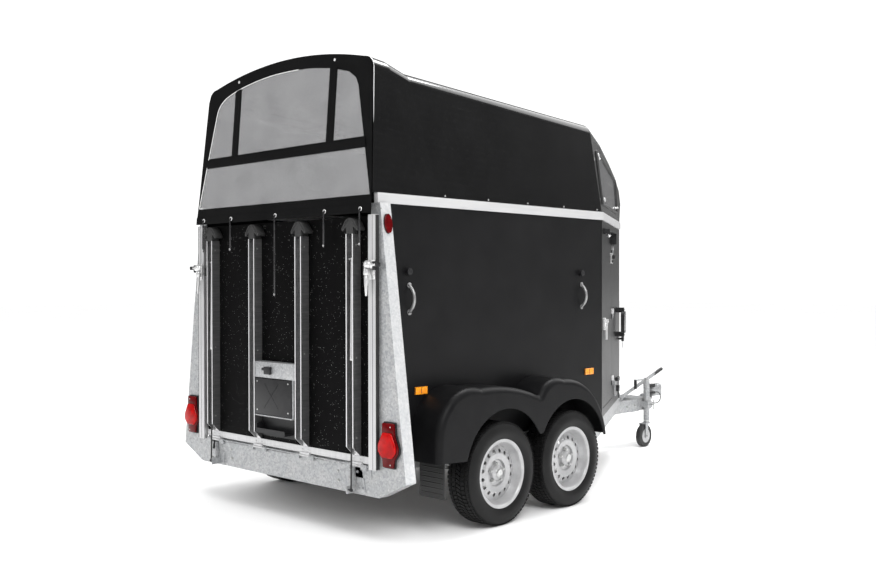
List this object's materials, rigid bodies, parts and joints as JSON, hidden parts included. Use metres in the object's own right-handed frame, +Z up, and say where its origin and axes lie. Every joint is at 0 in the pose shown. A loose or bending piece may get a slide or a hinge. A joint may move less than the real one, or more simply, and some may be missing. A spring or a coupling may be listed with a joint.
{
  "type": "horse trailer",
  "caption": "Enclosed tandem-axle trailer for horses with a tail ramp, cloth rear curtain, domed roof, slanted nose walls with an entry door, drawbar and jockey wheel.",
  "frame": {"origin": "on the floor under the middle of the bounding box", "axes": "+Y forward to the coupling, +X to the trailer's right seen from behind, +Z up"},
  "size_m": [2.196, 4.545, 2.87],
  "materials": {
    "galvanised": "hot-dip galvanised, spangled",
    "bright_steel": "bright anodised and bare metal",
    "dark_wall": "dark fine-grained wall board",
    "dark_shell": "dark moulded shell, fine grain",
    "panel": "coated plywood",
    "clear_pane": "tinted clear pane",
    "mesh_cloth": "coated cloth with a mesh window",
    "black_plastic": "black plastic",
    "grey_plastic": "dark grey moulded plastic",
    "black_metal": "black paint",
    "chromed": "bright rod",
    "rubber": "black rubber",
    "red_lens": "red lens",
    "amber_lens": "amber reflectors, red markers",
    "tyre": "road tyre",
    "rim_metal": "silver-grey paint"
  },
  "bodies": {
    "trailer": {"chassis_frame": "galvanised", "chassis_members": "galvanised", "drawbar": "galvanised", "floor_panel": "panel", "axle_rear": "galvanised", "axle_front": "galvanised", "rear_portal": "galvanised", "door_posts": "bright_steel", "side_wall_right": "dark_wall", "side_wall_left": "dark_wall", "front_wall_right": "dark_wall", "front_wall_centre": "dark_wall", "front_wall_left": "dark_wall", "belt_rail": "bright_steel", "hood_shell": "dark_shell", "nose_windows": "clear_pane", "rear_tarp": "mesh_cloth", "wall_fittings": "black_plastic", "ramp_hinge": "galvanised", "ramp_locks": "bright_steel", "mudguard_right": "grey_plastic", "mudguard_left": "grey_plastic", "mudflaps": "rubber", "tail_lamps": "red_lens", "marker_lamps": "amber_lens", "side_handles": "bright_steel", "partition": "black_metal", "overrun_unit": "black_metal", "coupling_head": "galvanised", "handbrake_lever": "galvanised", "drawbar_brackets": "galvanised", "jockey_tube": "galvanised", "tow_plug": "black_plastic", "tow_cable": "rubber", "breakaway_wire": "bright_steel"},
    "ramp": {"ramp_panel": "dark_wall", "ramp_sill": "bright_steel", "ramp_profiles": "bright_steel", "ramp_feet": "rubber", "plate_holder": "black_plastic", "ramp_brackets": "black_plastic"},
    "entry_door": {"entry_door": "dark_wall", "door_fittings": "black_plastic"},
    "strut_tube_r": {"strut_tube_right": "black_metal"},
    "strut_tube_l": {"strut_tube_left": "black_metal"},
    "strut_rod_r": {"strut_rod_right": "chromed"},
    "strut_rod_l": {"strut_rod_left": "chromed"},
    "wheel_rear_right": {"tyre_rear_right": "tyre", "rim_rear_right": "rim_metal"},
    "wheel_rear_left": {"tyre_rear_left": "tyre", "rim_rear_left": "rim_metal"},
    "wheel_front_right": {"tyre_front_right": "tyre", "rim_front_right": "rim_metal"},
    "wheel_front_left": {"tyre_front_left": "tyre", "rim_front_left": "rim_metal"},
    "jockey_fork": {"jockey_fork": "galvanised"},
    "jockey_wheel": {"jockey_wheel": "rubber"}
  },
  "joints": [
    {"name": "ramp_hinge", "type": "hinge", "parent": "trailer", "child": "ramp", "pos_m": [0, -2.1975, 0.44], "axis": [1, 0, 0], "range_deg": [0, 105]},
    {"name": "wheel_rear_right_spin", "type": "hinge", "parent": "trailer", "child": "wheel_rear_right", "pos_m": [0.99, -1.3385, 0.317], "axis": [1, 0, 0], "continuous": true},
    {"name": "wheel_rear_left_spin", "type": "hinge", "parent": "trailer", "child": "wheel_rear_left", "pos_m": [-0.99, -1.3385, 0.317], "axis": [1, 0, 0], "continuous": true},
    {"name": "wheel_front_right_spin", "type": "hinge", "parent": "trailer", "child": "wheel_front_right", "pos_m": [0.99, -0.6285, 0.317], "axis": [1, 0, 0], "continuous": true},
    {"name": "wheel_front_left_spin", "type": "hinge", "parent": "trailer", "child": "wheel_front_left", "pos_m": [-0.99, -0.6285, 0.317], "axis": [1, 0, 0], "continuous": true},
    {"name": "strut_r_swing", "type": "hinge", "parent": "ramp", "child": "strut_tube_r", "pos_m": [0.7, -2.2195, 1.62], "axis": [1, 0, 0], "range_deg": [-4.6, 0.1]},
    {"name": "strut_r_slide", "type": "slide", "parent": "strut_tube_r", "child": "strut_rod_r", "axis": [0, 0.0136, 0.9999], "range_m": [0, 0.2105]},
    {"name": "strut_l_swing", "type": "hinge", "parent": "ramp", "child": "strut_tube_l", "pos_m": [-0.7, -2.2195, 1.62], "axis": [1, 0, 0], "range_deg": [-4.6, 0.1]},
    {"name": "strut_l_slide", "type": "slide", "parent": "strut_tube_l", "child": "strut_rod_l", "axis": [0, 0.0136, 0.9999], "range_m": [0, 0.2105]},
    {"name": "entry_door_hinge", "type": "hinge", "parent": "trailer", "child": "entry_door", "pos_m": [0.53702, 0.67404, 1.2], "axis": [0, 0, 1], "range_deg": [0, 110]},
    {"name": "jockey_swivel", "type": "hinge", "parent": "trailer", "child": "jockey_fork", "pos_m": [0.13, 1.8325, 0.22], "axis": [0, 0, 1], "continuous": true},
    {"name": "jockey_wheel_spin", "type": "hinge", "parent": "jockey_fork", "child": "jockey_wheel", "pos_m": [0.13, 1.7875, 0.1], "axis": [1, 0, 0], "continuous": true}
  ],
  "couplings": [
    {"joint": "strut_r_swing", "follows": "ramp_hinge", "ratio": -0.0432},
    {"joint": "strut_r_slide", "follows": "ramp_hinge", "m_per_rad": 0.1147},
    {"joint": "strut_l_swing", "follows": "ramp_hinge", "ratio": -0.0432},
    {"joint": "strut_l_slide", "follows": "ramp_hinge", "m_per_rad": 0.1147}
  ]
}
